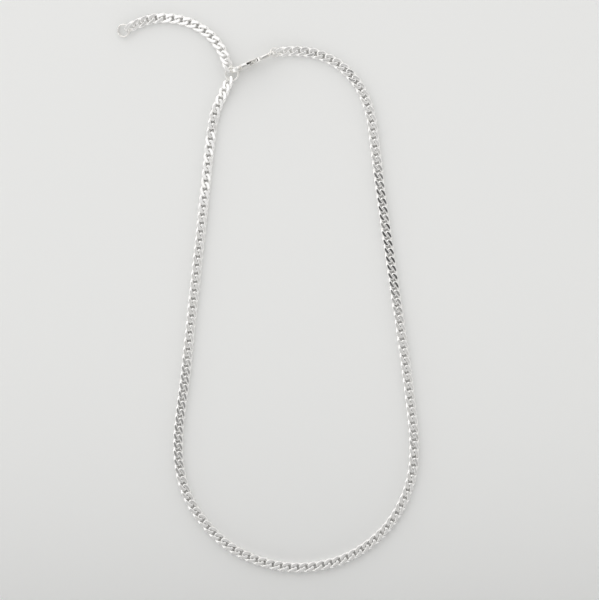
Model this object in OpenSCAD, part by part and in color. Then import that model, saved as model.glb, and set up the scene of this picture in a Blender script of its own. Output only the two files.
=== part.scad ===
// Curb chain necklace lying flat, with an extender chain, two rings and a lobster clasp

/* [Chain] */
// Length of chain that one link takes up
link_pitch = 3; // [2.7:0.1:3.4]
// Diameter of the wire that the links are bent from
wire_d = 1; // [0.8:0.05:1.1]
// Clear width inside a link
link_in = 1.5; // [1.4:0.05:1.8]
// Thickness of the chain over its faces, which are cut flat
link_t = 1.35; // [1.15:0.05:1.6]
// How far each end of a link is turned out of the chain's plane
link_twist = 47; // [44:1:52]
// Running gap between two wires that hook into each other
link_gap = 0.18; // [0.12:0.01:0.22]

/* [Rings] */
// Outer diameter of the ring that joins the chain, the extender and the clasp
join_ring_d = 5.3; // [4.8:0.1:5.6]
// Outer diameter of the ring at the extender's free end
end_ring_d = 5; // [4.4:0.1:7]
// Diameter of the wire of both large rings
ring_wire = 0.7; // [0.6:0.05:0.8]
// Outer diameter of the small ring in the clasp's eye
clasp_ring_d = 3.7; // [3.5:0.1:4.2]
// Diameter of the small ring's wire
clasp_ring_wire = 0.65; // [0.5:0.05:0.7]
// Gap between a ring's wire and what it holds
ring_gap = 0.18; // [0.14:0.01:0.2]

/* [Clasp] */
// Length of the clasp over all
clasp_l = 16.9; // [16.4:0.1:17.5]
// Height of the clasp's hook, from its back to the lever's side
clasp_h = 5.6; // [5.4:0.1:6]
// Thickness of the clasp at its middle
clasp_t = 1.9; // [1.8:0.05:2.2]
// Thickness of the hook's nose
nose_t = 1.3; // [1.1:0.05:1.4]
// Thickness of the clasp's tail
tail_t = 1.5; // [1:0.05:1.6]
// Height of the neck between the waist and the eye
neck_h = 1.75; // [1.5:0.05:2]
// Length of the clasp's mouth, from its back to the nose's end
mouth_l = 7.5; // [7.3:0.1:7.6]
// Width of the metal round the hook
hook_wall = 1.15; // [1.05:0.05:1.2]
// Outer diameter of the eye at the tail
eye_d = 2.7; // [2.5:0.1:2.9]
// Bore of the eye
eye_bore = 1.5; // [1.4:0.05:1.6]
// Diameter of the lever's pin
pin_d = 0.8; // [0.6:0.05:0.9]
// Thickness of the lever between the cheeks
lever_t = 0.9; // [0.7:0.05:1]
// Thickness of the lever's gate in front of the cheeks
gate_t = 1.65; // [1.3:0.05:1.7]
// Width of the groove in the gate
groove_t = 0.9; // [0.7:0.05:1]
// Clear space on each side of the lever
lever_play = 0.1; // [0.08:0.01:0.12]
// Height of the thumb knob above the lever's pin
knob_up = 2.7; // [2.5:0.1:3]
// Thickness of the thumb knob above the cheeks
knob_t = 1.4; // [1:0.1:1.6]

/* [Hidden] */
$fn = 64;

SILVER = [0.79, 0.79, 0.8];
WIRE_SIDES = 5;
// Stations round a link, close together where the wire bends or is cut
STATIONS = [0, 27, 70, 110, 153, 180, 207, 250, 290, 333];
// Roundness of a link's outline, where 2 is an ellipse
LOOP_POWER = 2.4;
// How far the wire's sides turn round it on the way from a link's end to its middle
SIDE_TURN = 18;
// The five flat sides of the wire lie inside the round one, so the loop is drawn this much wider
LOOP_FULL = 1.16;
// Curve steps between two points of a route
CURVE_STEPS = 16;
// How far a cutting solid runs past what it cuts
PAST = 1;

// Middle of the join ring seen from above, and the directions in which it holds its three pieces
JOIN_XY = [-12.8, 77.5];
CHAIN_SIDE = 250;
EXTENDER_SIDE = 126;
HOOK_SIDE = 40;
JOIN_LEAN = 11;
// Direction in which the clasp lies, from its nose to its eye
CLASP_SIDE = 25;
// How far below the nose's middle the join ring crosses the clasp's mouth, as an angle
HOLD_DROP = 28;
// Middle of the end ring, the direction of its chain, and how far it leans on that chain
END_AT = [-51.3, 93, 1];
END_SIDE = 26;
END_LEAN = 15;
// Height of the clasp's eye above the surface, and fall of the small ring away from the clasp
EYE_UP = 2.2;
CLASP_RING_FALL = 15;
// Direction in which the small ring holds the chain
CHAIN_END_SIDE = 5;

// Places along the clasp, as distances back from its nose's end
HOOK_END_BACK = 2.9;
GATE_TIP_BACK = 3.1;
GATE_END_BACK = 4.2;
GROOVE_BACK = [5.4, 6.8];
GATE_AHEAD = 0.4;
WAIST_BACK = 8.8;
PIN_BACK = 9.2;
// Places across the clasp, as distances down from the top of its hook
GATE_TIP_DOWN = 1.85;
GATE_END_DOWN = 1.05;
WAIST_DOWN = 1;
PIN_DOWN = 2.3;
// Rise of the clasp's back at the waist, and of the mouth's back above the metal under it
WAIST_RISE = 0.4;
MOUTH_BACK_RISE = 0.4;
// From the gate's end to where its thin tip leaves it
GATE_STEP = [-0.1, -0.5];
// From the pin to the knob's foot, and how far its top leans back from there
KNOB_AHEAD = 1.1;
KNOB_LEAN = 1;
// Height above the pin from which the knob is wider than the lever
KNOB_HEAD_UP = 2.15;

// Main chain from the join ring round to the clasp: x, y, lift above lying flat, roll
CHAIN_ROUTE = [
    [-16.3, 69.7, 0.45, 7],
    [-18.8, 63.7, 0.15, 0],
    [-20.5, 53.7, 0, 0],
    [-21.6, 43.2, 0, 0],
    [-22.7, 32.7, 0, 0],
    [-23.8, 22.2, 0, 0],
    [-25, 11.7, 0, 0],
    [-26.1, 1.2, 0, 0],
    [-27.3, -9.8, 0, 0],
    [-28.4, -20.3, 0, 0],
    [-29.5, -30.8, 0, 0],
    [-30.9, -41.3, 0, 0],
    [-31.9, -51.8, 0, 0],
    [-31.3, -62.8, 0, 0],
    [-28.3, -72.8, 0, 0],
    [-22.5, -81.8, 0, 0],
    [-14.8, -89.3, 0, 0],
    [-5.3, -94.5, 0, 0],
    [4.7, -97.2, 0, 0],
    [15.3, -97.4, 0, 0],
    [25.7, -95, 0, 0],
    [35, -90, 0, 0],
    [42.7, -82.8, 0, 0],
    [48.2, -73.8, 0, 0],
    [51.3, -63.8, 0, 0],
    [51.9, -53.1, 0, 0],
    [51, -42.3, 0, 0],
    [49.7, -31.8, 0, 0],
    [48.3, -21.3, 0, 0],
    [46.8, -10.8, 0, 0],
    [45.2, -0.3, 0, 0],
    [43.7, 10.2, 0, 0],
    [42.1, 20.9, 0, 0],
    [40.6, 31.4, 0, 0],
    [39.2, 42, 0, 0],
    [37.9, 52.6, 0, 0],
    [36.3, 63.2, 0, 0],
    [32.6, 73, 0, 0],
    [25.5, 80.7, 0, 0],
    [15.9, 85.1, 0.15, 0],
    [9.7, 85.8, 0.5, -7]
];
// Extender from the join ring to the end ring, in the same columns
EXTENDER_ROUTE = [
    [-15.6, 84.1, 0.8, 7],
    [-17.5, 87.8, 0.45, 0],
    [-20.3, 91.1, 0.12, 0],
    [-23.6, 93.7, 0, 0],
    [-27.4, 95.7, 0, 0],
    [-31.4, 96.9, 0, 0],
    [-35.7, 97.5, 0.05, 0],
    [-39.9, 97.4, 0.15, -1],
    [-44.1, 96.4, 0.4, -8]
];
CHAIN_START_ROLL = 38;
EXTENDER_START_ROLL = 31;
END_ROLL = -35;

flat_axis = link_t / 2;
wire_r = wire_d / 2;
loop_half = (link_in + wire_d) / 2 * LOOP_FULL;
hook_in = (wire_d + link_gap) / 2;
join_r = (join_ring_d - ring_wire) / 2;
end_r = (end_ring_d - ring_wire) / 2;
clasp_ring_r = (clasp_ring_d - clasp_ring_wire) / 2;

// Clasp seen from its side: x from the tail's end to the nose, y up from its back
nose_r = clasp_h / 2;
nose_at = [clasp_l - nose_r, nose_r];
mouth_r = nose_r - hook_wall;
mouth_back_r = 0.8;
mouth_back = [clasp_l - mouth_l + mouth_back_r, hook_wall + MOUTH_BACK_RISE + mouth_back_r];
waist_r = (clasp_h - WAIST_DOWN - WAIST_RISE) / 2;
waist_at = [clasp_l - WAIST_BACK, WAIST_RISE + waist_r];
eye_at = [eye_d / 2, EYE_UP];
pin_at = [clasp_l - PIN_BACK, clasp_h - PIN_DOWN];
boss_r = 1.1;
gate_end = [clasp_l - GATE_END_BACK, clasp_h - GATE_END_DOWN];
gate_end_r = 0.65;
gate_tip = [clasp_l - GATE_TIP_BACK, clasp_h - GATE_TIP_DOWN];
gate_tip_r = 0.38;
// The wide gate starts ahead of the cheeks, so that it can turn inwards
gate_back = mouth_l - GATE_AHEAD;
hook_end = clasp_l - HOOK_END_BACK;
knob_foot = pin_at + [KNOB_AHEAD, 0];
knob_r = 0.55;
// The join ring's wire lies inside the nose, under its middle, and curves back at the nose's sides
nose_half = (clasp_t + nose_t) / 4;
ring_bend = join_r - sqrt(pow(join_r, 2) - pow(nose_half, 2));
ring_skew = nose_half * tan(HOOK_SIDE - CLASP_SIDE);
hold_at = nose_at + (mouth_r - ring_gap - ring_bend - ring_skew - ring_wire / 2)
    * [cos(HOLD_DROP), -sin(HOLD_DROP)];

join_at = [JOIN_XY.x, JOIN_XY.y, hold_at.y - join_r * sin(JOIN_LEAN)];
join_hold = ring_point(join_at, join_r, HOOK_SIDE, JOIN_LEAN, HOOK_SIDE);
eye_place = join_hold + (hold_at.x - eye_at.x) * direction(CLASP_SIDE);
clasp_ring_at = [eye_place.x, eye_place.y, EYE_UP]
    + clasp_ring_r * leaning(CLASP_SIDE, -CLASP_RING_FALL);

function unit(v) = v / norm(v);
function xyz(row) = [row[0], row[1], row[2]];
function direction(angle) = [cos(angle), sin(angle), 0];
// Unit vector that points along a direction and rises by an angle
function leaning(angle, rise) = cos(rise) * direction(angle) + [0, 0, sin(rise)];
// Point on a ring's wire at an angle, where the ring rises by lean towards the side high_side
function ring_point(middle, radius, high_side, lean, angle) =
    middle + radius * (cos(angle - high_side) * leaning(high_side, lean)
        + sin(angle - high_side) * direction(high_side + 90));

// Middle of the wire at station t of a link whose ends are turned to opposite sides
function half_length(pitch) = pitch / 2 + hook_in;
function loop_r(share) = loop_half * pow(1 - pow(min(1, abs(share)), LOOP_POWER), 1 / LOOP_POWER);
function wire_middle(t, reach) =
    let (share = cos(t),
        across = (sin(t) < 0 ? -1 : 1) * loop_r(share),
        turn = -link_twist * sin(90 * share))
    [reach * share, across * cos(turn), across * sin(turn)];
// Corners of the wire at station t, moved round the wire to the flat faces where they stand past
function wire_corners(t, reach) =
    let (middle = wire_middle(t, reach),
        along = unit(wire_middle(t + 0.5, reach) - wire_middle(t - 0.5, reach)),
        up = unit([0, 0, 1] - along.z * along),
        out = cross(along, up),
        first = 180 / WIRE_SIDES - SIDE_TURN * sin(2 * t))
    [for (j = [0 : WIRE_SIDES - 1])
        let (a = first + j * 360 / WIRE_SIDES,
            level = middle.z + wire_r * sin(a) * up.z,
            cut_level = max(-link_t / 2, min(link_t / 2, level)),
            rise = (cut_level - middle.z) / (wire_r * up.z),
            aside = sign(cos(a)) * sqrt(max(0, 1 - rise * rise)))
        middle + wire_r * (aside * out + rise * up)];
function link_points(pitch) =
    [for (t = STATIONS) each wire_corners(t, half_length(pitch))];
function link_faces() =
    let (n = len(STATIONS))
    [for (i = [0 : n - 1], j = [0 : WIRE_SIDES - 1])
        let (next_i = (i + 1) % n,
            next_j = (j + 1) % WIRE_SIDES,
            a = i * WIRE_SIDES + j,
            b = i * WIRE_SIDES + next_j,
            c = next_i * WIRE_SIDES + next_j,
            d = next_i * WIRE_SIDES + j)
        each [[a, b, c], [a, c, d]]];

// Smooth curve through a route's rows, as many short rows
function gap_lengths(rows) =
    [for (i = [0 : len(rows) - 2]) norm(xyz(rows[i + 1]) - xyz(rows[i]))];
function row_slope(rows, gaps, i) =
    i == 0 ? (rows[1] - rows[0]) / gaps[0]
    : i == len(rows) - 1 ? (rows[i] - rows[i - 1]) / gaps[i - 1]
    : ((rows[i] - rows[i - 1]) * gaps[i] / gaps[i - 1]
        + (rows[i + 1] - rows[i]) * gaps[i - 1] / gaps[i]) / (gaps[i - 1] + gaps[i]);
function between(p, q, p_slope, q_slope, u) =
    (2 * pow(u, 3) - 3 * pow(u, 2) + 1) * p + (pow(u, 3) - 2 * pow(u, 2) + u) * p_slope
    + (3 * pow(u, 2) - 2 * pow(u, 3)) * q + (pow(u, 3) - pow(u, 2)) * q_slope;
function curve(rows) =
    let (gaps = gap_lengths(rows))
    [for (i = [0 : len(rows) - 2], k = [0 : CURVE_STEPS - 1])
            between(rows[i], rows[i + 1], row_slope(rows, gaps, i) * gaps[i],
                row_slope(rows, gaps, i + 1) * gaps[i], k / CURVE_STEPS),
        rows[len(rows) - 1]];
function run_lengths(fine) =
    [for (i = 0, run = 0; i < len(fine);
            run = i + 1 < len(fine) ? run + norm(xyz(fine[i + 1]) - xyz(fine[i])) : run,
            i = i + 1) run];
// Points where each link hooks into the next one, evenly spaced along the curve
function hinge_rows(rows) =
    let (fine = curve(rows),
        runs = run_lengths(fine),
        whole = runs[len(runs) - 1],
        count = round(whole / link_pitch),
        columns = [for (c = [0 : 3]) [for (i = [0 : len(fine) - 1]) [runs[i], fine[i][c]]]])
    [for (k = [0 : count])
        let (row = [for (c = [0 : 3]) lookup(whole * k / count, columns[c])])
        [row[0], row[1], max(flat_axis, row[2]), row[3]]];
function pitch_of(hinges) = norm(xyz(hinges[2]) - xyz(hinges[1]));
// Frame of the link between two hinge points: along, to its left, up, and its middle
function link_frame(p, q) =
    let (along = unit(xyz(q) - xyz(p)),
        up = unit([0, 0, 1] - along.z * along),
        left = cross(up, along),
        roll = (p[3] + q[3]) / 2,
        left_rolled = cos(roll) * left + sin(roll) * up,
        up_rolled = cos(roll) * up - sin(roll) * left,
        middle = (xyz(p) + xyz(q)) / 2)
    [for (r = [0 : 2]) [along[r], left_rolled[r], up_rolled[r], middle[r]]];

// Where a chain's first or last hinge point lies, for a ring's wire that crosses its end link
function hinge_inside(wire) = wire_r + ring_gap + wire / 2 - hook_in;
function ring_hinge(middle, radius, wire, high_side, lean, angle, roll) =
    concat(ring_point(middle, radius - hinge_inside(wire), high_side, lean, angle), roll);
function lifted(rows) = [for (row = rows) [row[0], row[1], flat_axis + row[2], row[3]]];

chain_hinges = hinge_rows(concat(
    [ring_hinge(join_at, join_r, ring_wire, HOOK_SIDE, JOIN_LEAN, CHAIN_SIDE, CHAIN_START_ROLL)],
    lifted(CHAIN_ROUTE),
    [ring_hinge(clasp_ring_at, clasp_ring_r, clasp_ring_wire, CLASP_SIDE, -CLASP_RING_FALL,
        CHAIN_END_SIDE, END_ROLL)]));
extender_hinges = hinge_rows(concat(
    [ring_hinge(join_at, join_r, ring_wire, HOOK_SIDE, JOIN_LEAN, EXTENDER_SIDE,
        EXTENDER_START_ROLL)],
    lifted(EXTENDER_ROUTE),
    [ring_hinge(END_AT, end_r, ring_wire, END_SIDE, END_LEAN, END_SIDE, END_ROLL)]));
chain_count = len(chain_hinges) - 1;
left_count = floor(chain_count / 2);

module links(hinges, first, last) {
    points = link_points(pitch_of(hinges));
    for (k = [first : last])
        multmatrix(link_frame(hinges[k], hinges[k + 1]))
            polyhedron(points, link_faces(), convexity = 4);
}

module ring(middle, radius, wire, high_side, lean) {
    translate(middle)
        rotate([0, -lean, high_side])
            rotate_extrude()
                translate([radius, 0])
                    circle(d = wire);
}

// Stands the clasp's side view upright and puts its nose into the join ring
module clasp_place() {
    translate([join_hold.x, join_hold.y, 0])
        rotate(CLASP_SIDE + 180)
            translate([-hold_at.x, 0, 0])
                children();
}

module upright(thickness) {
    rotate([90, 0, 0])
        linear_extrude(thickness, center = true)
            children();
}

module bead(at, radius) {
    translate(at)
        circle(radius);
}

module chain_left() {
    color(SILVER)
        links(chain_hinges, 0, left_count - 1);
}

module chain_right() {
    color(SILVER)
        links(chain_hinges, left_count, chain_count - 1);
}

module extender_chain() {
    color(SILVER)
        links(extender_hinges, 0, len(extender_hinges) - 2);
}

module join_ring() {
    color(SILVER)
        ring(join_at, join_r, ring_wire, HOOK_SIDE, JOIN_LEAN);
}

module end_ring() {
    color(SILVER)
        ring(END_AT, end_r, ring_wire, END_SIDE, END_LEAN);
}

module clasp_ring() {
    color(SILVER)
        ring(clasp_ring_at, clasp_ring_r, clasp_ring_wire, CLASP_SIDE, -CLASP_RING_FALL);
}

// Side view of the hook, waist, neck and eye, with the mouth cut out
module body_side() {
    difference() {
        union() {
            hull() {
                bead(nose_at, nose_r);
                bead(waist_at, waist_r);
            }
            hull() {
                bead(waist_at, neck_h / 2);
                bead(eye_at, eye_bore / 2);
            }
            bead(eye_at, eye_d / 2);
        }
        hull() {
            bead(nose_at, mouth_r);
            bead(mouth_back, mouth_back_r);
        }
        // Way for the lever, from the waist to the end of the hook
        translate([mouth_back.x - mouth_back_r, mouth_back.y])
            square([hook_end - mouth_back.x + mouth_back_r, clasp_h]);
    }
}

// View from above: a thin tail, a full middle and a narrower nose
module body_plan() {
    hull() {
        bead([pin_at.x - boss_r / 2, 0], clasp_t / 2);
        bead([gate_end.x, 0], clasp_t / 2);
        bead([clasp_l - nose_t / 2, 0], nose_t / 2);
    }
    hull() {
        bead([tail_t / 2, 0], tail_t / 2);
        bead([waist_at.x, 0], tail_t / 2);
    }
}

// Room in which the lever turns between the two cheeks
module lever_slot() {
    hull() {
        bead(pin_at, boss_r + lever_play);
        bead(mouth_back, mouth_back_r + lever_play);
        translate(pin_at)
            square([mouth_back.x - pin_at.x, clasp_h]);
    }
}

module clasp_body() {
    color(SILVER)
        clasp_place() {
            difference() {
                intersection() {
                    upright(clasp_t + PAST)
                        body_side();
                    linear_extrude(clasp_h + PAST)
                        body_plan();
                }
                upright(lever_t + 2 * lever_play)
                    lever_slot();
                translate([eye_at.x, 0, eye_at.y])
                    rotate([90, 0, 0])
                        cylinder(h = clasp_t + PAST, d = eye_bore, center = true);
            }
            translate([pin_at.x, 0, pin_at.y])
                rotate([90, 0, 0])
                    cylinder(h = clasp_t, d = pin_d, center = true);
        }
}

// Side view of the lever's arm, with its thin tip under the end of the hook
module arm_side() {
    hull() {
        bead(pin_at, boss_r);
        bead(gate_end, gate_end_r);
    }
    hull() {
        bead(gate_end + GATE_STEP, gate_tip_r);
        bead(gate_tip, gate_tip_r);
    }
}

module knob_side() {
    hull() {
        bead(knob_foot, knob_r);
        bead(knob_foot + [-KNOB_LEAN, knob_up], knob_r);
    }
}

module clasp_lever() {
    color(SILVER)
        clasp_place()
            difference() {
                union() {
                    upright(lever_t) {
                        arm_side();
                        knob_side();
                    }
                    upright(knob_t)
                        intersection() {
                            knob_side();
                            translate([0, pin_at.y + KNOB_HEAD_UP])
                                square(clasp_l);
                        }
                    upright(gate_t)
                        intersection() {
                            arm_side();
                            translate([clasp_l - gate_back, 0])
                                square([gate_back, clasp_h]);
                        }
                }
                translate([clasp_l - GROOVE_BACK[1], -groove_t / 2, 0])
                    cube([GROOVE_BACK[1] - GROOVE_BACK[0], groove_t, clasp_h]);
                translate([pin_at.x, 0, pin_at.y])
                    rotate([90, 0, 0])
                        cylinder(h = lever_t + PAST, d = pin_d + 2 * lever_play, center = true);
            }
}

chain_left();
chain_right();
extender_chain();
join_ring();
end_ring();
clasp_ring();
clasp_body();
clasp_lever();
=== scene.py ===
"""Curb chain necklace of polished sterling silver, lying in a loop on a pale surface."""

import math
import random

import bpy
from mathutils import Matrix, Vector


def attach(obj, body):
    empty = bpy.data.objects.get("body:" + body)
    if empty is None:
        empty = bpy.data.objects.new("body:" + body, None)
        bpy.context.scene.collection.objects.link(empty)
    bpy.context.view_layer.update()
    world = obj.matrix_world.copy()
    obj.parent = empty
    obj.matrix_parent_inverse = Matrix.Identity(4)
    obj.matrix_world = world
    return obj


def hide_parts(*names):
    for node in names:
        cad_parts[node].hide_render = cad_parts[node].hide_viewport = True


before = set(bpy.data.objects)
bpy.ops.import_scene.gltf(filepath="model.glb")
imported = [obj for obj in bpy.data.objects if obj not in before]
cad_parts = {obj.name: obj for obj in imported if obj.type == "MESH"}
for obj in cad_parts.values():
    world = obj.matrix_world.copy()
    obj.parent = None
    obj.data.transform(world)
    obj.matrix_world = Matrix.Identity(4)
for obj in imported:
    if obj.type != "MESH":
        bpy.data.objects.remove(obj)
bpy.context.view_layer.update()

# The pieces are shaped in millimetres and turned to metres when they are finished
MM = 0.001

# Chain: length of a link in the run, its wire, inside width and thickness over the cut faces
LINK_PITCH = 3.0
WIRE_D = 1.22
LINK_IN = 1.36
LINK_T = 1.35
# How far each end of a link is turned out of the chain's plane, and the gap between two wires
LINK_TWIST = 44
LINK_GAP = 0.06
# Roundness of a link's outline, where 2 is an ellipse
LOOP_POWER = 3
# Width of the rounded border of a cut face
FACET_EDGE = 0.26
# How many degrees a loose link may be tilted out of the run's plane, and how many tilts are drawn
LINK_TILT = 0.9
TILT_COUNT = 150
# What follows from these: half widths, and how far a link reaches past its hinge points
WIRE_R = WIRE_D / 2
FLAT_AXIS = LINK_T / 2
HOOK_IN = (WIRE_D + LINK_GAP) / 2
LOOP_HALF = (LINK_IN + WIRE_D) / 2

# Rings: outer diameters and wires, and their gap from the clasp and from a link
JOIN_RING_D = 5.3
END_RING_D = 5.0
RING_WIRE = 0.7
CLASP_RING_D = 3.7
CLASP_RING_WIRE = 0.65
RING_GAP = 0.18
LINK_RING_GAP = 0.12
# A ring's soldered seam is this share thicker than its wire, and this many degrees long each way
SEAM_SWELL = 0.07
SEAM_HALF = 5
JOIN_R = (JOIN_RING_D - RING_WIRE) / 2
END_R = (END_RING_D - RING_WIRE) / 2
CLASP_RING_R = (CLASP_RING_D - CLASP_RING_WIRE) / 2

# Clasp, seen from its side: x from the tail's end to the nose, y up from its back. Many places are
# distances back from the nose's end and down from the top of the hook.
CLASP_L = 16.9
CLASP_H = 5.6
CLASP_T = 1.9
NOSE_T = 1.3
TAIL_T = 1.5
HOOK_WALL = 1.15
NOSE_R = CLASP_H / 2
NOSE_AT = Vector((CLASP_L - NOSE_R, NOSE_R))
# Length of the mouth from the nose's end, and the rise of its back above the metal under it
MOUTH_L = 7.5
MOUTH_RISE = 0.4
MOUTH_R = NOSE_R - HOOK_WALL
MOUTH_BACK_R = 0.8
MOUTH_BACK = Vector((CLASP_L - MOUTH_L + MOUTH_BACK_R, HOOK_WALL + MOUTH_RISE + MOUTH_BACK_R))
# Round waist behind the cheeks: its middle, its top under the hook's, its foot over the clasp's back
WAIST_BACK = 8.8
WAIST_DOWN = 1
WAIST_RISE = 0.4
WAIST_R = (CLASP_H - WAIST_DOWN - WAIST_RISE) / 2
WAIST_AT = Vector((CLASP_L - WAIST_BACK, WAIST_RISE + WAIST_R))
EYE_D = 2.7
EYE_BORE = 1.5
EYE_UP = 2.2
EYE_AT = Vector((EYE_D / 2, EYE_UP))
# Corners of the neck between waist and eye, and the top of the cheeks' front edge
NECK_LOW = [Vector((5.7, 1.42)), Vector((5.0, 1.47))]
NECK_HIGH = [Vector((5.0, 3.12)), Vector((5.7, 3.24))]
CHEEK_TOP = Vector((CLASP_L - MOUTH_L, 4.85))
# The thin tail grows to the full thickness between two places, and the nose is thin from a third
TAIL_END = 6
CHEEKS_FROM = 6.8
NOSE_THIN = CLASP_L - 0.3

# The clasp's lever, in the same view, and its pin, whose ends stand a little proud of the cheeks
PIN_D = 0.8
PIN_PROUD = 0.03
LEVER_T = 0.9
LEVER_PLAY = 0.1
PIN_AT = Vector((CLASP_L - 9.2, CLASP_H - 2.3))
BOSS_R = 1.1
ARM_FRONT = [Vector((10.0, 4.78)), Vector((10.0, 2.93))]
GATE_T = 1.65
GATE_BACK = [Vector((9.8, 2.86)), Vector((9.8, 4.75))]
GATE_END = Vector((CLASP_L - 4.2, CLASP_H - 1.05))
GATE_END_R = 0.65
GATE_TIP = Vector((CLASP_L - 3.1, CLASP_H - 1.85))
GATE_TIP_R = 0.38
# Under the gate's end a small step leads to its thin tip
GATE_STEP = [Vector((12.5, 3.68)), Vector((12.39, 3.74))]
# Opposite corners of the groove in the gate, and of the space between the cheeks
GROOVE = Vector((CLASP_L - 7.8, -0.55, PIN_AT.y)), Vector((CLASP_L - 6.15, 0.2, CLASP_H))
SLOT_HALF = LEVER_T / 2 + LEVER_PLAY
SLOT_FLOOR = 0.5
SLOT = (Vector((PIN_AT.x - BOSS_R - LEVER_PLAY, -SLOT_HALF, SLOT_FLOOR)),
        Vector((MOUTH_BACK.x + MOUTH_BACK_R + LEVER_PLAY, SLOT_HALF, CLASP_H)))
# How far the slot's cutting shape runs past the clasp
CUT_PAST = 1.4
# Thumb knob: a stem that leans back, and a wider head with ridges across its front
KNOB_R = 0.55
KNOB_T = 1.4
KNOB_FOOT = PIN_AT + Vector((1.1, 0))
KNOB_TOP = KNOB_FOOT + Vector((-1, 2.7))
KNOB_WAY = (KNOB_TOP - KNOB_FOOT).normalized()
# Heights above the pin at which the head and its ridges start
HEAD_UP = 2.15
RIDGE_UP = 2.32
RIDGE_STEP = 0.38
RIDGE_R = 0.1
RIDGE_L = KNOB_T - 0.3
RIDGES = 3

# Angle in degrees past which an edge of the clasp stays sharp, and the rounding of its edges
SHARP_EDGE = 32
BODY_EDGE = 0.22
SLOT_EDGE = 0.02
PIN_EDGE = 0.06
ARM_EDGE = 0.08
GATE_EDGE = 0.12
KNOB_EDGE = 0.1
HEAD_EDGE = 0.15

# How finely the pieces are drawn: round a link and its wire, round a ring and its wire, along a
# route between two rows, and in degrees along an arc
LINK_STATIONS = 32
LINK_SIDES = 12
RING_STATIONS = 72
RING_SIDES = 16
CURVE_STEPS = 16
ARC_STEP = 8
# Points nearer than this are one point
LINK_WELD = 0.002
CLASP_WELD = 0.001

# Where the rings lie, in degrees which way each holds its pieces, and how far each leans
JOIN_XY = (-12.8, 77.5)
CHAIN_SIDE = 250
EXTENDER_SIDE = 126
HOOK_SIDE = 40
JOIN_LEAN = 11
END_AT = Vector((-51.3, 93, 1))
END_SIDE = 26
END_LEAN = 15
CHAIN_END_SIDE = 5
CLASP_RING_FALL = 15
# Which way the clasp lies from nose to tail, and the angle under the nose's middle where it is held
CLASP_SIDE = 25
HOLD_DROP = 28
# Rolls of the links that hook onto the rings
CHAIN_START_ROLL = 38
EXTENDER_START_ROLL = 31
END_ROLL = -35

# Main chain from the join ring round to the clasp: x, y, lift above lying flat, roll
CHAIN_ROUTE = [
    (-16.3, 69.7, 0.45, 7), (-18.8, 63.7, 0.15, 0), (-20.5, 53.7, 0, 0), (-21.6, 43.2, 0, 0),
    (-22.7, 32.7, 0, 0), (-23.8, 22.2, 0, 0), (-25, 11.7, 0, 0), (-26.1, 1.2, 0, 0),
    (-27.3, -9.8, 0, 0), (-28.4, -20.3, 0, 0), (-29.5, -30.8, 0, 0), (-30.9, -41.3, 0, 0),
    (-31.9, -51.8, 0, 0), (-31.3, -62.8, 0, 0), (-28.3, -72.8, 0, 0), (-22.5, -81.8, 0, 0),
    (-14.8, -89.3, 0, 0), (-5.3, -94.5, 0, 0), (4.7, -97.2, 0, 0), (15.3, -97.4, 0, 0),
    (25.7, -95, 0, 0), (35, -90, 0, 0), (42.7, -82.8, 0, 0), (48.2, -73.8, 0, 0),
    (51.3, -63.8, 0, 0), (51.9, -53.1, 0, 0), (51, -42.3, 0, 0), (49.7, -31.8, 0, 0),
    (48.3, -21.3, 0, 0), (46.8, -10.8, 0, 0), (45.2, -0.3, 0, 0), (43.7, 10.2, 0, 0),
    (42.1, 20.9, 0, 0), (40.6, 31.4, 0, 0), (39.2, 42, 0, 0), (37.9, 52.6, 0, 0),
    (36.3, 63.2, 0, 0), (32.6, 73, 0, 0), (25.5, 80.7, 0, 0), (15.9, 85.1, 0.15, 0),
    (9.7, 85.8, 0.5, -7),
]
# Extender from the join ring to the end ring
EXTENDER_ROUTE = [
    (-15.6, 84.1, 0.8, 7), (-17.5, 87.8, 0.45, 0), (-20.3, 91.1, 0.12, 0), (-23.6, 93.7, 0, 0),
    (-27.4, 95.7, 0, 0), (-31.4, 96.9, 0, 0), (-35.7, 97.5, 0.05, 0), (-39.9, 97.4, 0.15, -1),
    (-44.1, 96.4, 0.4, -11),
]

# Surface, in metres: the extender's rolled links reach a hair below zero, and it lies under them
BOARD_SIZE = 8
BOARD_DROP = 0.00004
# The board's fibres are finer than this, and are drawn as coarse as they need to be to show
FIBRE_MM = 1.111
FIBRE_DEPTH_MM = 0.2

# Camera, in metres, straight above the board, the width of what it sees, and its sensor in mm
CAMERA_X, CAMERA_Y = 0.01118, -0.00264
CAMERA_UP = 0.9
VIEW_W = 0.2129
SENSOR_W = 36

# Window at the upper left, in metres
WINDOW_AT = Vector((-0.5, 0.52, 0.6))
WINDOW_SIZE = 0.8
WINDOW_WATTS = 0.9

# Strip of grey cloth below the picture, in metres
FLAG_AT = (-0.01, -0.151, 0.06)
FLAG_SIZE = (0.64, 0.06)

# Cards overhead, which the cut faces mirror: white where the photograph has bright faces, dark
# where it has grey ones. Each has its left, right, low and high side in metres from the camera's
# axis, and its brightness.
CARD_UP = 1.5
CARDS = {
    "white_card": (-0.6, -0.05, 0.09, 0.6, 1.15),
    "white_card_clasp": (-0.05, -0.012, 0.15, 0.6, 1.15),
    "white_card_far": (-0.012, 0.6, 0.44, 0.95, 1.15),
    "dark_card_right": (0.035, 0.2, -0.008, 0.126, 0.07),
    "dark_card_left": (-0.2, -0.05, -0.17, -0.06, 0.26),
    "dark_card_top": (-0.012, 0.028, 0.19, 0.26, 0.45),
    "dark_card_arc": (0.028, 0.062, 0.196, 0.232, 0.07),
    "dark_card_tail": (0.08, 0.36, 0.27, 0.42, 0.08),
    "dark_card_spot": (0.09, 0.13, -0.155, -0.13, 0.15),
}


def turned(degrees):
    return math.cos(math.radians(degrees)), math.sin(math.radians(degrees))


def direction(degrees):
    c, s = turned(degrees)
    return Vector((c, s, 0))


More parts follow.
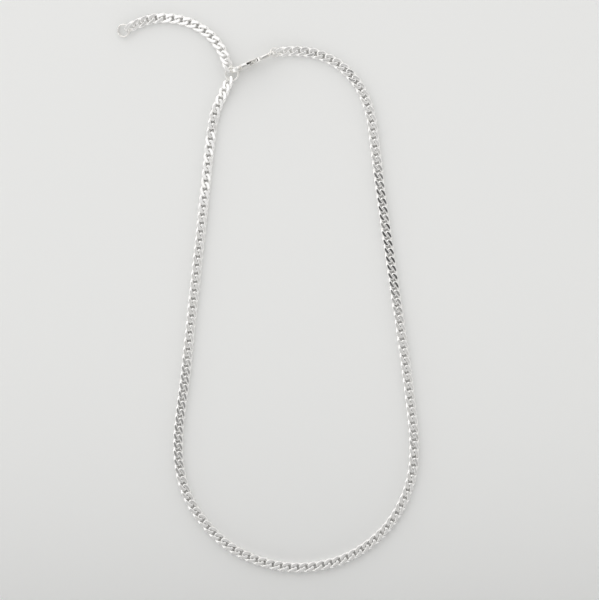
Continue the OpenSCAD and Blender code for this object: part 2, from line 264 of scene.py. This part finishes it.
def leaning(degrees, rise):
    c, s = turned(rise)
    return direction(degrees) * c + Vector((0, 0, s))


def ring_point(middle, radius, high_side, lean, angle):
    """Point on a ring that leans up towards its high side."""
    c, s = turned(angle - high_side)
    return middle + radius * (leaning(high_side, lean) * c + direction(high_side + 90) * s)


# The join ring's wire lies inside the nose, under its middle
NOSE_HALF = (CLASP_T + NOSE_T) / 4
RING_BEND = JOIN_R - math.sqrt(JOIN_R ** 2 - NOSE_HALF ** 2)
RING_SKEW = NOSE_HALF * math.tan(math.radians(HOOK_SIDE - CLASP_SIDE))
HOLD_AT = NOSE_AT + (MOUTH_R - RING_GAP - RING_BEND - RING_SKEW - RING_WIRE / 2) * Vector(
    turned(-HOLD_DROP))
JOIN_AT = Vector((*JOIN_XY, HOLD_AT.y - JOIN_R * turned(JOIN_LEAN)[1]))
JOIN_HOLD = ring_point(JOIN_AT, JOIN_R, HOOK_SIDE, JOIN_LEAN, HOOK_SIDE)
EYE_PLACE = JOIN_HOLD + (HOLD_AT.x - EYE_AT.x) * direction(CLASP_SIDE)
CLASP_RING_AT = (Vector((EYE_PLACE.x, EYE_PLACE.y, EYE_AT.y))
                 + CLASP_RING_R * leaning(CLASP_SIDE, -CLASP_RING_FALL))


def deselect():
    if bpy.context.object and bpy.context.object.mode == "EDIT":
        bpy.ops.object.mode_set(mode="OBJECT")
    bpy.ops.object.select_all(action="DESELECT")


def keep_in_metres(piece):
    """A finished piece has its place in its mesh, in metres."""
    deselect()
    piece.select_set(True)
    bpy.context.view_layer.objects.active = piece
    bpy.ops.object.transform_apply(location=True, rotation=True, scale=True)
    piece.data.transform(Matrix.Scale(MM, 4))
    piece.data.update()


# Materials


def linear(code):
    """Linear colour with full alpha from an sRGB hex code."""
    parts = [int(code[i:i + 2], 16) / 255 for i in (1, 3, 5)]
    light = [p / 12.92 if p <= 0.04045 else ((p + 0.055) / 1.055) ** 2.4 for p in parts]
    return (*light, 1.0)


def add_node(tree, kind, values=None, links=None, **settings):
    """Adds a shader node, sets its settings and socket values, and links its inputs."""
    made = tree.nodes.new(kind)
    for name, value in settings.items():
        setattr(made, name, value)
    for name, value in (values or {}).items():
        made.inputs[name].default_value = value
    for name, (source, output) in (links or {}).items():
        tree.links.new(source.outputs[output], made.inputs[name])
    return made


def new_material(name):
    material = bpy.data.materials.new(name)
    material.use_nodes = True
    material.node_tree.nodes.clear()
    return material, material.node_tree


def ramp_between(made, low, high, first, last):
    ramp = made.color_ramp
    ramp.elements[0].position, ramp.elements[0].color = low, first
    ramp.elements[1].position, ramp.elements[1].color = high, last


def polished_silver(name, bright, dull, roughness, grain_mm, grain_depth_mm, cloud_mm):
    """Silver: its colour drifts a little between bright and dull, over a fine worked grain.

    Polishing leaves a finer grain than this one, which is as coarse as it needs to be to show.
    """
    material, tree = new_material(name)
    place = add_node(tree, "ShaderNodeTexCoord")
    clouds = add_node(tree, "ShaderNodeTexNoise",
                      {"Scale": 1 / (cloud_mm * MM), "Detail": 4.0, "Roughness": 0.6},
                      {"Vector": (place, "Object")})
    colour = add_node(tree, "ShaderNodeValToRGB", links={"Fac": (clouds, "Fac")})
    ramp_between(colour, 0.36, 0.62, linear(dull), linear(bright))
    smoothest, roughest = roughness
    gloss = add_node(tree, "ShaderNodeMapRange",
                     {"From Min": 0.3, "From Max": 0.7, "To Min": smoothest, "To Max": roughest},
                     {"Value": (clouds, "Fac")})
    grain = add_node(tree, "ShaderNodeTexNoise", {"Scale": 1 / (grain_mm * MM), "Detail": 3.0},
                     {"Vector": (place, "Object")})
    bump = add_node(tree, "ShaderNodeBump", {"Strength": 0.5, "Distance": grain_depth_mm * MM},
                    {"Height": (grain, "Fac")})
    shader = add_node(tree, "ShaderNodeBsdfPrincipled", {"Metallic": 1.0},
                      {"Base Color": (colour, "Color"), "Roughness": (gloss, "Result"),
                       "Normal": (bump, "Normal")})
    add_node(tree, "ShaderNodeOutputMaterial", links={"Surface": (shader, "BSDF")})
    return material


# Sterling silver, drawn to wire and tumbled: a soft bright polish
silver_wire = polished_silver(
    "sterling_silver_tumbled", bright="#FEFDFC", dull="#FBFAF8", roughness=(0.2, 0.32),
    grain_mm=0.22, grain_depth_mm=0.004, cloud_mm=1.6)
# Sterling silver where the links are cut flat with a diamond tool: close to a mirror
silver_cut = polished_silver(
    "sterling_silver_diamond_cut", bright="#FCFBFA", dull="#F4F2EF", roughness=(0.05, 0.09),
    grain_mm=0.5, grain_depth_mm=0.001, cloud_mm=2.4)
# Sterling silver, cast and polished by wheel: the rings' and the clasp's clear reflections
silver_cast = polished_silver(
    "sterling_silver_cast_polished", bright="#FAF9F7", dull="#ECEAE6", roughness=(0.08, 0.15),
    grain_mm=0.35, grain_depth_mm=0.006, cloud_mm=1.9)
# The same silver where the wheel doesn't reach: dull tarnish in the clasp's recesses, made darker
# still as painted shade for the deep slot and groove
silver_tarnish_and_painted_shade = polished_silver(
    "sterling_silver_tarnish_and_painted_shade", bright="#9A968F", dull="#6E6B66", roughness=(0.45, 0.65),
    grain_mm=0.3, grain_depth_mm=0.01, cloud_mm=0.8)


# Chain


def wire_middle(t, reach):
    """Middle of a link's wire at angle t, each end turned out of the chain's plane."""
    share = math.cos(t)
    half = LOOP_HALF * (1 - min(1, abs(share)) ** LOOP_POWER) ** (1 / LOOP_POWER)
    across = -half if math.sin(t) < 0 else half
    turn = -math.radians(LINK_TWIST) * math.sin(math.pi / 2 * share)
    return Vector((reach * share, across * math.cos(turn), across * math.sin(turn)))


def bend_wire(link, reach):
    """Pulls a ring of wire long, as far as reach each way, and twists it."""
    a_little = 0.01
    for vertex in link.data.vertices:
        x, y, z = vertex.co
        t = math.atan2(y, x)
        side = math.atan2(z, math.hypot(x, y) - LOOP_HALF)
        along = wire_middle(t + a_little, reach) - wire_middle(t - a_little, reach)
        along.normalize()
        up = (Vector((0, 0, 1)) - along.z * along).normalized()
        out = along.cross(up)
        vertex.co = wire_middle(t, reach) + WIRE_R * (math.cos(side) * out + math.sin(side) * up)


def cut_flat():
    """Cuts the link being worked on flat above and below."""
    bpy.ops.object.mode_set(mode="EDIT")
    for face in (1, -1):
        bpy.ops.mesh.select_all(action="SELECT")
        bpy.ops.mesh.bisect(plane_co=(0, 0, face * FLAT_AXIS), plane_no=(0, 0, face),
                            use_fill=True, clear_outer=True, threshold=1e-5)
    bpy.ops.mesh.select_all(action="SELECT")
    bpy.ops.mesh.remove_doubles(threshold=LINK_WELD)
    bpy.ops.mesh.normals_make_consistent(inside=False)
    bpy.ops.object.mode_set(mode="OBJECT")


def polish_link(link):
    """Rounds the borders of the cut faces and gives wire and faces their silver."""
    link.data.materials.append(silver_wire)
    link.data.materials.append(silver_cut)
    for face in link.data.polygons:
        is_level = abs(face.normal.z) > 0.999
        face.select = is_level and abs(abs(face.center.z) - FLAT_AXIS) < LINK_WELD
    bpy.context.tool_settings.mesh_select_mode = (False, False, True)
    bpy.ops.object.mode_set(mode="EDIT")
    bpy.ops.mesh.inset(thickness=FACET_EDGE)
    bpy.ops.object.mode_set(mode="OBJECT")
    bpy.context.tool_settings.mesh_select_mode = (True, False, False)
    for face in link.data.polygons:
        face.material_index = 1 if face.select else 0
    deselect()
    link.select_set(True)
    bpy.ops.object.shade_smooth()


def curb_link(pitch):
    """One link about the origin: a ring of wire, pulled long, twisted and cut flat."""
    deselect()
    bpy.ops.mesh.primitive_torus_add(major_segments=LINK_STATIONS, minor_segments=LINK_SIDES,
                                     major_radius=LOOP_HALF, minor_radius=WIRE_R)
    link = bpy.context.object
    bend_wire(link, pitch / 2 + HOOK_IN)
    cut_flat()
    polish_link(link)
    return link


def curve_points(rows):
    """Smooth curve through a route's rows, as many short rows."""
    gaps = [(rows[i + 1].xyz - rows[i].xyz).length for i in range(len(rows) - 1)]
    slopes = [(rows[1] - rows[0]) / gaps[0]]
    for i in range(1, len(rows) - 1):
        before, after = rows[i] - rows[i - 1], rows[i + 1] - rows[i]
        weighted = before * (gaps[i] / gaps[i - 1]) + after * (gaps[i - 1] / gaps[i])
        slopes.append(weighted / (gaps[i - 1] + gaps[i]))
    slopes.append((rows[-1] - rows[-2]) / gaps[-1])
    fine = []
    for i, gap in enumerate(gaps):
        for k in range(CURVE_STEPS):
            u = k / CURVE_STEPS
            fine.append(rows[i] * (2 * u ** 3 - 3 * u ** 2 + 1)
                        + slopes[i] * gap * (u ** 3 - 2 * u ** 2 + u)
                        + rows[i + 1] * (3 * u ** 2 - 2 * u ** 3)
                        + slopes[i + 1] * gap * (u ** 3 - u ** 2))
    return fine + [rows[-1]]


def hinge_rows(rows):
    """Points where each link hooks into the next one, evenly spaced along the curve."""
    fine = curve_points(rows)
    runs = [0.0]
    for a, b in zip(fine, fine[1:]):
        runs.append(runs[-1] + (b.xyz - a.xyz).length)
    count = round(runs[-1] / LINK_PITCH)
    hinges, i = [], 0
    for k in range(count + 1):
        run = runs[-1] * k / count
        while i < len(runs) - 2 and runs[i + 1] < run:
            i += 1
        row = fine[i].lerp(fine[i + 1], min(1, (run - runs[i]) / (runs[i + 1] - runs[i])))
        row.z = max(FLAT_AXIS, row.z)
        hinges.append(row)
    return hinges


def hinge_on_ring(middle, radius, wire, high_side, lean, angle, roll):
    """Point where a link hooks onto a ring's wire, and the link's roll there."""
    inside = WIRE_R + LINK_RING_GAP + wire / 2 - HOOK_IN
    return Vector((*ring_point(middle, radius - inside, high_side, lean, angle), roll))


def lifted(rows):
    return [Vector((x, y, FLAT_AXIS + lift, roll)) for x, y, lift, roll in rows]


def link_place(p, q, tilt):
    """Place of the link between two hinge points, rolled with them and by its own small tilt.

    A tilted link stands on its lower edge, so its middle is raised by as much.
    """
    along = (q.xyz - p.xyz).normalized()
    up = (Vector((0, 0, 1)) - along.z * along).normalized()
    left = up.cross(along)
    c, s = turned((p.w + q.w) / 2 + tilt)
    left, up = left * c + up * s, up * c - left * s
    raised = (LINK_IN / 2 + WIRE_D) * abs(turned(tilt)[1])
    place = Matrix((along, left, up)).transposed().to_4x4()
    place.translation = (p.xyz + q.xyz) / 2 + Vector((0, 0, raised))
    return place


def run_of_links(name, link, hinges, first, last, tilts):
    """Copies of one link along the run, joined into one piece."""
    deselect()
    copies = []
    for k in range(first, last + 1):
        copy = link.copy()
        copy.data = link.data.copy()
        copy.data.transform(link_place(hinges[k], hinges[k + 1], tilts[k % len(tilts)]))
        bpy.context.collection.objects.link(copy)
        copies.append(copy)
    for copy in copies:
        copy.select_set(True)
    bpy.context.view_layer.objects.active = copies[0]
    bpy.ops.object.join()
    chain = bpy.context.object
    chain.name = name
    keep_in_metres(chain)
    return chain


chain_hinges = hinge_rows(
    [hinge_on_ring(JOIN_AT, JOIN_R, RING_WIRE, HOOK_SIDE, JOIN_LEAN, CHAIN_SIDE,
                   CHAIN_START_ROLL)]
    + lifted(CHAIN_ROUTE)
    + [hinge_on_ring(CLASP_RING_AT, CLASP_RING_R, CLASP_RING_WIRE, CLASP_SIDE, -CLASP_RING_FALL,
                     CHAIN_END_SIDE, END_ROLL)])
extender_hinges = hinge_rows(
    [hinge_on_ring(JOIN_AT, JOIN_R, RING_WIRE, HOOK_SIDE, JOIN_LEAN, EXTENDER_SIDE,
                   EXTENDER_START_ROLL)]
    + lifted(EXTENDER_ROUTE)
    + [hinge_on_ring(END_AT, END_R, RING_WIRE, END_SIDE, END_LEAN, END_SIDE, END_ROLL)])
left_count = (len(chain_hinges) - 1) // 2

# Each link lies a little differently, as a loose chain's links do
shuffle = random.Random(7)
TILTS = [shuffle.uniform(-LINK_TILT, LINK_TILT) for _ in range(TILT_COUNT)]

main_link = curb_link((chain_hinges[2].xyz - chain_hinges[1].xyz).length)
chain_left = run_of_links("chain_left_links", main_link, chain_hinges, 0, left_count - 1, TILTS)
chain_right = run_of_links(
    "chain_right_links", main_link, chain_hinges, left_count, len(chain_hinges) - 2, TILTS)
extender_link = curb_link((extender_hinges[2].xyz - extender_hinges[1].xyz).length)
extender_chain = run_of_links(
    "extender_links", extender_link, extender_hinges, 0, len(extender_hinges) - 2, TILTS)
for pattern in (main_link, extender_link):
    bpy.data.objects.remove(pattern)


# Clasp


def arc(middle, radius, start, end):
    """Points round a circle from one angle to another, evenly spaced."""
    steps = max(2, round(abs(end - start) / ARC_STEP))
    points = []
    for k in range(steps + 1):
        c, s = turned(start + (end - start) * k / steps)
        points.append(middle + radius * Vector((c, s)))
    return points


def cast_plate(name, outlines, thickness, rounding):
    """A plate that stands upright along x, cut to its outlines, with its edges rounded."""
    deselect()
    drawing = bpy.data.curves.new(name, "CURVE")
    drawing.dimensions = "2D"
    drawing.fill_mode = "BOTH"
    drawing.extrude = thickness / 2 - rounding
    drawing.bevel_depth = rounding
    drawing.bevel_resolution = 3
    drawing.offset = -rounding
    for outline in outlines:
        line = drawing.splines.new("POLY")
        line.points.add(len(outline) - 1)
        for point, place in zip(line.points, outline):
            point.co = (place.x, place.y, 0, 1)
        line.use_cyclic_u = True
    plate = bpy.data.objects.new(name, drawing)
    bpy.context.collection.objects.link(plate)
    bpy.context.view_layer.objects.active = plate
    plate.select_set(True)
    bpy.ops.object.convert(target="MESH")
    bpy.ops.object.mode_set(mode="EDIT")
    bpy.ops.mesh.select_all(action="SELECT")
    bpy.ops.mesh.remove_doubles(threshold=CLASP_WELD)
    bpy.ops.mesh.normals_make_consistent(inside=False)
    bpy.ops.object.mode_set(mode="OBJECT")
    plate.data.transform(Matrix.Rotation(math.pi / 2, 4, "X"))
    return plate


def cross_rod(place, radius, length, sides):
    """A round rod that lies across the clasp."""
    deselect()
    bpy.ops.mesh.primitive_cylinder_add(vertices=sides, radius=radius, depth=length,
                                        location=(place.x, 0, place.y),
                                        rotation=(math.pi / 2, 0, 0))
    bpy.ops.object.transform_apply(location=True, rotation=True, scale=True)
    return bpy.context.object


def block(low, high):
    deselect()
    bpy.ops.mesh.primitive_cube_add(size=1)
    made = bpy.context.object
    size = Matrix.Diagonal((*(high - low), 1))
    made.data.transform(Matrix.Translation((low + high) / 2) @ size)
    return made


def cut_away(piece, cutter):
    """Takes the cutter's volume out of the piece."""
    deselect()
    bpy.context.view_layer.objects.active = piece
    piece.select_set(True)
    cut = piece.modifiers.new("cut", "BOOLEAN")
    cut.operation = "DIFFERENCE"
    cut.object = cutter
    bpy.ops.object.modifier_apply(modifier=cut.name)
    bpy.data.objects.remove(cutter)


def one_piece(name, parts, recess):
    """Joins parts of the clasp, gives the recess dull tarnish darkened with painted shade, smooths
    all and puts it where it lies.
    """
    deselect()
    for part in parts:
        part.select_set(True)
    bpy.context.view_layer.objects.active = parts[0]
    bpy.ops.object.join()
    piece = bpy.context.object
    piece.name = name
    piece.data.materials.clear()
    piece.data.materials.append(silver_cast)
    piece.data.materials.append(silver_tarnish_and_painted_shade)
    low, high = recess
    slack = 0.01
    # Faces inside the recess get the dark silver: tarnish plus painted shade where the slot and
    # groove lie in shadow
    for face in piece.data.polygons:
        corners = [piece.data.vertices[k].co for k in face.vertices]
        inside = all(a - slack < x < b + slack
                     for corner in corners for a, x, b in zip(low, corner, high))
        face.material_index = 1 if inside else 0
    bpy.ops.object.shade_smooth_by_angle(angle=math.radians(SHARP_EDGE))
    piece.data.transform(Matrix.Translation((JOIN_HOLD.x, JOIN_HOLD.y, 0))
                         @ Matrix.Rotation(math.radians(CLASP_SIDE + 180), 4, "Z")
                         @ Matrix.Translation((-HOLD_AT.x, 0, 0)))
    keep_in_metres(piece)
    return piece


def thinned(x):
    """Share of the clasp's full thickness at a place along it: a thinner tail and nose."""
    tail = TAIL_T / CLASP_T
    nose = NOSE_T / CLASP_T
    stops = [(-1, tail), (TAIL_END, tail), (CHEEKS_FROM, 1), (GATE_END.x, 1), (NOSE_THIN, nose),
             (CLASP_L + 1, nose)]
    for (a, low), (b, high) in zip(stops, stops[1:]):
        if x <= b:
            return low + (high - low) * (x - a) / (b - a)
    return nose


def hook_and_cheeks():
    """The body's plate, with its thinner tail and nose and the slot between its cheeks."""
    outline = (
        arc(NOSE_AT, NOSE_R, 92, -94) + arc(WAIST_AT, WAIST_R, -94, -140) + NECK_LOW
        + arc(EYE_AT, EYE_D / 2, -33, -327) + NECK_HIGH + arc(WAIST_AT, WAIST_R, 140, 100)
        + [CHEEK_TOP] + arc(MOUTH_BACK, MOUTH_BACK_R, 180, 264)
        + arc(NOSE_AT, MOUTH_R, -96, 93.5))
    bore = arc(EYE_AT, EYE_BORE / 2, 0, 352)
    plate = cast_plate("hook_and_cheeks", [outline, bore], CLASP_T, BODY_EDGE)
    bpy.ops.object.mode_set(mode="EDIT")
    for x in (TAIL_END, CHEEKS_FROM, GATE_END.x):
        bpy.ops.mesh.select_all(action="SELECT")
        bpy.ops.mesh.bisect(plane_co=(x, 0, 0), plane_no=(1, 0, 0), threshold=1e-5)
    bpy.ops.object.mode_set(mode="OBJECT")
    for vertex in plate.data.vertices:
        vertex.co.y *= thinned(vertex.co.x)
    low, high = SLOT
    above = high.z + CUT_PAST
    slot = (arc(PIN_AT, BOSS_R + LEVER_PLAY, 180, 270)
            + arc(MOUTH_BACK, MOUTH_BACK_R + LEVER_PLAY, 250, 360)
            + [Vector((high.x, above)), Vector((low.x, above))])
    cut_away(plate, cast_plate("slot", [slot], 2 * SLOT_HALF, SLOT_EDGE))
    return plate


def lever_pin():
    pin = cross_rod(PIN_AT, PIN_D / 2, CLASP_T + 2 * PIN_PROUD, sides=24)
    soften = pin.modifiers.new("soften", "BEVEL")
    soften.width = PIN_EDGE
    soften.segments = 3
    soften.limit_method = "ANGLE"
    bpy.ops.object.modifier_apply(modifier=soften.name)
    return pin


def arm_and_gate():
    """The lever's thin arm between the cheeks and its thicker gate, both cut by the groove."""
    arm_outline = arc(PIN_AT, BOSS_R, -71, -261) + ARM_FRONT
    pin_hole = arc(PIN_AT, PIN_D / 2 + LEVER_PLAY, 0, 345)
    arm = cast_plate("arm", [arm_outline, pin_hole], LEVER_T, ARM_EDGE)
    gate_outline = (GATE_BACK + arc(GATE_END, GATE_END_R, 99, -25)
                    + arc(GATE_TIP, GATE_TIP_R, 76, -104) + GATE_STEP)
    gate = cast_plate("gate", [gate_outline], GATE_T, GATE_EDGE)
    for part in (arm, gate):
        cut_away(part, block(*GROOVE))
    return [arm, gate]


def on_knob(up, side):
    """Point of the knob's outline at a height above the pin: 1 is its front, -1 its back."""
    return KNOB_FOOT + KNOB_WAY * (up / KNOB_WAY.y) + Vector((side * KNOB_R / KNOB_WAY.y, 0))


def thumb_knob():
    """The knob's stem and head, with fine ridges where the thumb pushes."""
    lean = math.degrees(math.atan2(KNOB_WAY.y, KNOB_WAY.x))
    top = arc(KNOB_TOP, KNOB_R, lean + 90, lean - 90)
    stem_outline = arc(KNOB_FOOT, KNOB_R, lean - 90, lean - 270) + top
    stem = cast_plate("stem", [stem_outline], LEVER_T, KNOB_EDGE)
    head_outline = [on_knob(HEAD_UP, -1)] + top + [on_knob(HEAD_UP, 1)]
    head = cast_plate("head", [head_outline], KNOB_T, HEAD_EDGE)
    first = on_knob(RIDGE_UP, 1)
    ridges = [cross_rod(first + KNOB_WAY * RIDGE_STEP * k, RIDGE_R, RIDGE_L, sides=12)
              for k in range(RIDGES)]
    return [stem, head] + ridges


clasp_body = one_piece("clasp_body_cast", [hook_and_cheeks(), lever_pin()], SLOT)
clasp_lever = one_piece("clasp_lever_cast", arm_and_gate() + thumb_knob(), GROOVE)


# Rings


def wire_ring(name, middle, radius, wire, high_side, lean, seam):
    """A ring of round wire, a little thicker at the angle seam, where it is soldered."""
    deselect()
    bpy.ops.mesh.primitive_torus_add(major_segments=RING_STATIONS, minor_segments=RING_SIDES,
                                     major_radius=radius, minor_radius=wire / 2)
    ring = bpy.context.object
    ring.name = name
    for vertex in ring.data.vertices:
        angle = math.atan2(vertex.co.y, vertex.co.x)
        away = abs((angle - math.radians(seam) + math.pi) % math.tau - math.pi)
        core = Vector((math.cos(angle), math.sin(angle), 0)) * radius
        swell = 1 + SEAM_SWELL * math.exp(-(math.degrees(away) / SEAM_HALF) ** 2)
        vertex.co = core + (vertex.co - core) * swell
    ring.data.materials.append(silver_cast)
    ring.data.transform(Matrix.Translation(middle)
                        @ Matrix.Rotation(math.radians(high_side), 4, "Z")
                        @ Matrix.Rotation(-math.radians(lean), 4, "Y"))
    bpy.ops.object.shade_smooth()
    keep_in_metres(ring)
    return ring


join_ring = wire_ring(
    "join_ring_wire", JOIN_AT, JOIN_R, RING_WIRE, HOOK_SIDE, JOIN_LEAN, seam=150)
end_ring = wire_ring(
    "end_ring_wire", END_AT, END_R, RING_WIRE, END_SIDE, END_LEAN, seam=100)
clasp_ring = wire_ring(
    "clasp_ring_wire", CLASP_RING_AT, CLASP_RING_R, CLASP_RING_WIRE, CLASP_SIDE,
    -CLASP_RING_FALL, seam=90)


# Each piece stands for its CAD node and moves with its body


def stands_for(piece, node, body):
    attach(piece, body)
    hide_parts(node)


stands_for(chain_left, "chain_left", "necklace")
stands_for(chain_right, "chain_right", "necklace")
stands_for(extender_chain, "extender_chain", "necklace")
stands_for(join_ring, "join_ring", "necklace")
stands_for(end_ring, "end_ring", "necklace")
stands_for(clasp_ring, "clasp_ring", "necklace")
stands_for(clasp_body, "clasp_body", "necklace")
stands_for(clasp_lever, "clasp_lever", "lever")


# Studio


def lay_board():
    """Matt white board, whose fibres scatter the light evenly."""
    material, tree = new_material("matt_white_board")
    place = add_node(tree, "ShaderNodeTexCoord")
    fibres = add_node(tree, "ShaderNodeTexNoise", {"Scale": 1 / (FIBRE_MM * MM), "Detail": 3.0},
                      {"Vector": (place, "Object")})
    bump = add_node(tree, "ShaderNodeBump", {"Strength": 0.05, "Distance": FIBRE_DEPTH_MM * MM},
                    {"Height": (fibres, "Fac")})
    paper = add_node(tree, "ShaderNodeBsdfPrincipled",
                     {"Base Color": linear("#F9F9F8"), "Roughness": 0.85},
                     {"Normal": (bump, "Normal")})
    add_node(tree, "ShaderNodeOutputMaterial", links={"Surface": (paper, "BSDF")})
    deselect()
    bpy.ops.mesh.primitive_plane_add(size=BOARD_SIZE, location=(0, 0, -BOARD_DROP))
    floor = bpy.context.object
    floor.name = "floor"
    floor.data.materials.append(material)


def paint_room():
    """Pale walls, paler towards the window at the upper left, under a duller ceiling."""
    world = bpy.data.worlds.new("studio")
    bpy.context.scene.world = world
    world.use_nodes = True
    tree = world.node_tree
    look = add_node(tree, "ShaderNodeTexCoord")
    split = add_node(tree, "ShaderNodeSeparateXYZ", links={"Vector": (look, "Generated")})
    height = add_node(tree, "ShaderNodeMapRange",
                      {"From Min": 0.1, "From Max": 0.8, "To Min": 1.37, "To Max": 0.66},
                      {"Value": (split, "Z")})
    towards = add_node(tree, "ShaderNodeVectorMath", {1: (-0.7, 0.7, 0)},
                       {0: (look, "Generated")}, operation="DOT_PRODUCT")
    side = add_node(tree, "ShaderNodeMapRange",
                    {"From Min": -1.0, "From Max": 0.5, "To Min": 0.78, "To Max": 1.05},
                    {"Value": (towards, "Value")})
    strength = add_node(tree, "ShaderNodeMath", links={0: (height, "Result"), 1: (side, "Result")},
                        operation="MULTIPLY")
    room = tree.nodes["Background"]
    room.inputs["Color"].default_value = linear("#FDFDFC")
    tree.links.new(strength.outputs["Value"], room.inputs["Strength"])


def open_window():
    """Soft light that falls from the window towards the middle of the board."""
    deselect()
    bpy.ops.object.light_add(type="AREA", location=WINDOW_AT)
    window = bpy.context.object
    window.name = "window_light"
    window.data.shape = "RECTANGLE"
    window.data.size = window.data.size_y = WINDOW_SIZE
    window.data.energy = WINDOW_WATTS
    window.rotation_euler = (-WINDOW_AT).to_track_quat("-Z", "Y").to_euler()


def hang_card(name, left, right, low, high, brightness):
    """A card that only the silver reflects."""
    material, tree = new_material(name)
    glow = add_node(tree, "ShaderNodeEmission", {"Strength": brightness})
    add_node(tree, "ShaderNodeOutputMaterial", links={"Surface": (glow, "Emission")})
    material.cycles.emission_sampling = "NONE"
    deselect()
    middle = CAMERA_X + (left + right) / 2, CAMERA_Y + (low + high) / 2, CARD_UP
    bpy.ops.mesh.primitive_plane_add(size=1, location=middle)
    card = bpy.context.object
    card.name = name
    card.scale = (right - left, high - low, 1)
    card.data.materials.append(material)
    card.visible_camera = card.visible_diffuse = card.visible_shadow = False


def hang_flag():
    """A grey strip hangs level below the picture and takes light from the picture's lower part."""
    material, tree = new_material("grey_flag_cloth")
    cloth = add_node(tree, "ShaderNodeBsdfPrincipled",
                     {"Base Color": linear("#8E8E8E"), "Roughness": 0.9})
    add_node(tree, "ShaderNodeOutputMaterial", links={"Surface": (cloth, "BSDF")})
    deselect()
    bpy.ops.mesh.primitive_plane_add(size=1, location=FLAG_AT)
    flag = bpy.context.object
    flag.name = "flag"
    flag.scale = (*FLAG_SIZE, 1)
    flag.data.materials.append(material)
    flag.visible_camera = False


def set_camera():
    """The camera looks straight down, as the photograph does."""
    deselect()
    bpy.ops.object.camera_add(location=(CAMERA_X, CAMERA_Y, CAMERA_UP), rotation=(0, 0, 0))
    camera = bpy.context.object
    camera.name = "camera"
    camera.data.sensor_fit = "HORIZONTAL"
    camera.data.sensor_width = SENSOR_W
    camera.data.lens = SENSOR_W * CAMERA_UP / VIEW_W
    camera.data.clip_start = 0.01
    bpy.context.scene.camera = camera


lay_board()
paint_room()
open_window()
for card_name, sides_and_brightness in CARDS.items():
    hang_card(card_name, *sides_and_brightness)
hang_flag()
set_camera()
bpy.context.scene.view_settings.view_transform = "Standard"
# Light finds its way out of the links' narrow gaps only after many reflections
bpy.context.scene.cycles.glossy_bounces = 16
bpy.context.scene.cycles.diffuse_bounces = 10
bpy.context.scene.cycles.max_bounces = 26
